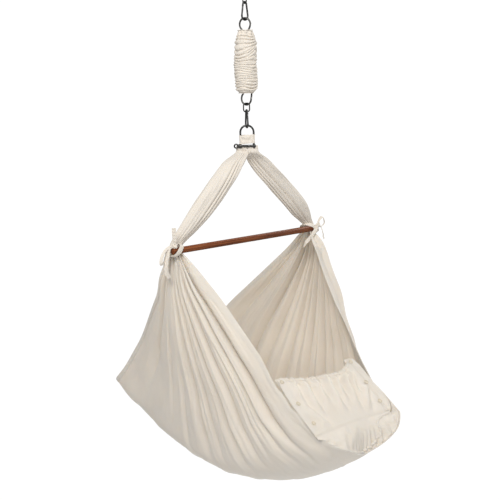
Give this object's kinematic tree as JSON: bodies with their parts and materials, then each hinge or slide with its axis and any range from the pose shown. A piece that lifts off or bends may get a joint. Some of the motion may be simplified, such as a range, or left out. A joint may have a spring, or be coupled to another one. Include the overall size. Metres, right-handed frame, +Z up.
{
  "type": "baby hammock",
  "caption": "Sprung canvas baby hammock on a wooden spreader bar, hung from a ceiling plate by chain, spring hooks, a sleeved extension spring and a bow shackle.",
  "frame": {"origin": "centre of the ceiling plate's flat top face, where it meets the ceiling", "axes": "+Z up, +X along the spreader bar, +Y towards the head end of the bed; the buttoned foot end is at -Y"},
  "size_m": [0.6863, 0.9947, 1.5632],
  "materials": {
    "zinc_steel": "satin",
    "spring_steel": "satin",
    "stained_wood": "satin",
    "canvas": "matte",
    "cotton_tape": "matte",
    "button_plastic": "gloss",
    "mattress_foam": "matte",
    "elastic_band": "matte"
  },
  "bodies": {
    "ceiling_mount": {"ceiling_plate": "zinc_steel", "ceiling_screw_1": "zinc_steel", "ceiling_screw_2": "zinc_steel", "ceiling_screw_3": "zinc_steel", "ceiling_screw_4": "zinc_steel", "ceiling_eye": "zinc_steel"},
    "chain_link_1": {"chain_link_1": "zinc_steel"},
    "chain_link_2": {"chain_link_2": "zinc_steel"},
    "chain_link_3": {"chain_link_3": "zinc_steel"},
    "upper_hook": {"upper_hook": "zinc_steel", "upper_hook_rivet": "zinc_steel"},
    "upper_gate": {"upper_hook_gate": "zinc_steel"},
    "spring_top": {"extension_spring": "spring_steel", "spring_cover": "canvas", "cover_tie_upper": "cotton_tape"},
    "spring_tail": {"cover_tie_lower": "cotton_tape"},
    "square_link": {"square_link": "zinc_steel"},
    "lower_hook": {"lower_hook": "zinc_steel", "lower_hook_rivet": "zinc_steel"},
    "lower_gate": {"lower_hook_gate": "zinc_steel"},
    "shackle_pin": {"shackle_pin": "zinc_steel"},
    "foot_flap": {"foot_flap": "canvas", "flap_elastic": "elastic_band"},
    "hammock": {"bed_base": "canvas", "button_band_left": "canvas", "button_band_right": "canvas", "button_left_low": "button_plastic", "button_left_middle": "button_plastic", "button_left_top": "button_plastic", "button_right_low": "button_plastic", "button_right_middle": "button_plastic", "button_right_top": "button_plastic", "foot_gusset": "canvas", "inner_sheet": "canvas", "mattress": "mattress_foam", "shackle_bow": "zinc_steel", "side_panel_left": "canvas", "side_panel_right": "canvas", "spreader_bar": "stained_wood", "tie_knot_left": "cotton_tape", "tie_knot_right": "cotton_tape", "tie_lashing_left": "cotton_tape", "tie_lashing_right": "cotton_tape", "tie_loop_left": "cotton_tape", "tie_loop_right": "cotton_tape", "tie_tail_lower_left": "cotton_tape", "tie_tail_lower_right": "cotton_tape", "tie_tail_upper_left": "cotton_tape", "yoke_strap_left": "canvas", "yoke_strap_right": "canvas", "yoke_tab": "canvas"}
  },
  "joints": [
    {"name": "ceiling_swing", "type": "hinge", "parent": "ceiling_mount", "child": "chain_link_1", "pos_m": [0, 0, -0.034], "axis": [0.9848, 0.1736, 0], "range_deg": [-20, 20]},
    {"name": "link_1_swing", "type": "hinge", "parent": "chain_link_1", "child": "chain_link_2", "pos_m": [0, 0, -0.0524], "axis": [0.1736, -0.9848, 0], "range_deg": [-20, 20]},
    {"name": "link_2_swing", "type": "hinge", "parent": "chain_link_2", "child": "chain_link_3", "pos_m": [0, 0, -0.072], "axis": [0.9848, 0.1736, 0], "range_deg": [-20, 20]},
    {"name": "upper_hook_swing", "type": "hinge", "parent": "chain_link_3", "child": "upper_hook", "pos_m": [0, 0, -0.0916], "axis": [0.1736, -0.9848, 0], "range_deg": [-20, 20]},
    {"name": "upper_gate_hinge", "type": "hinge", "parent": "upper_hook", "child": "upper_gate", "pos_m": [-0.00761, 0, -0.09722], "axis": [0, -1, 0], "range_deg": [0, 20], "stiffness_Nm_per_rad": 0.03, "springref_deg": -17.19},
    {"name": "spring_swing", "type": "hinge", "parent": "upper_hook", "child": "spring_top", "pos_m": [0, 0, -0.1391], "axis": [1, 0, 0], "range_deg": [-20, 20]},
    {"name": "spring_stretch", "type": "slide", "parent": "spring_top", "child": "spring_tail", "axis": [0, 0, -1], "range_m": [0, 0.15], "stiffness_N_per_m": 600, "springref_m": -0.09, "deforming": ["extension_spring", "spring_cover"]},
    {"name": "square_link_swing", "type": "hinge", "parent": "spring_tail", "child": "square_link", "pos_m": [0, 0, -0.3888], "axis": [0.2756, -0.9613, 0], "range_deg": [-20, 20]},
    {"name": "lower_hook_swing", "type": "hinge", "parent": "square_link", "child": "lower_hook", "pos_m": [0, 0, -0.4087], "axis": [0.9703, -0.2419, 0], "range_deg": [-20, 20]},
    {"name": "lower_gate_hinge", "type": "hinge", "parent": "lower_hook", "child": "lower_gate", "pos_m": [-0.00357, -0.00672, -0.41412], "axis": [0.8829, -0.4695, 0], "range_deg": [0, 20], "stiffness_Nm_per_rad": 0.03, "springref_deg": -17.19},
    {"name": "hammock_rock", "type": "hinge", "parent": "lower_hook", "child": "hammock", "pos_m": [0, 0, -0.456], "axis": [0.4695, 0.8829, 0], "range_deg": [-15, 15]},
    {"name": "pin_withdraw", "type": "slide", "parent": "hammock", "child": "shackle_pin", "axis": [-0.7431, 0.6691, 0], "range_m": [0, 0.055]},
    {"name": "foot_flap_open", "type": "hinge", "parent": "hammock", "child": "foot_flap", "pos_m": [0, -0.425, -1.2854], "axis": [1, 0, 0], "range_deg": [0, 70]}
  ]
}
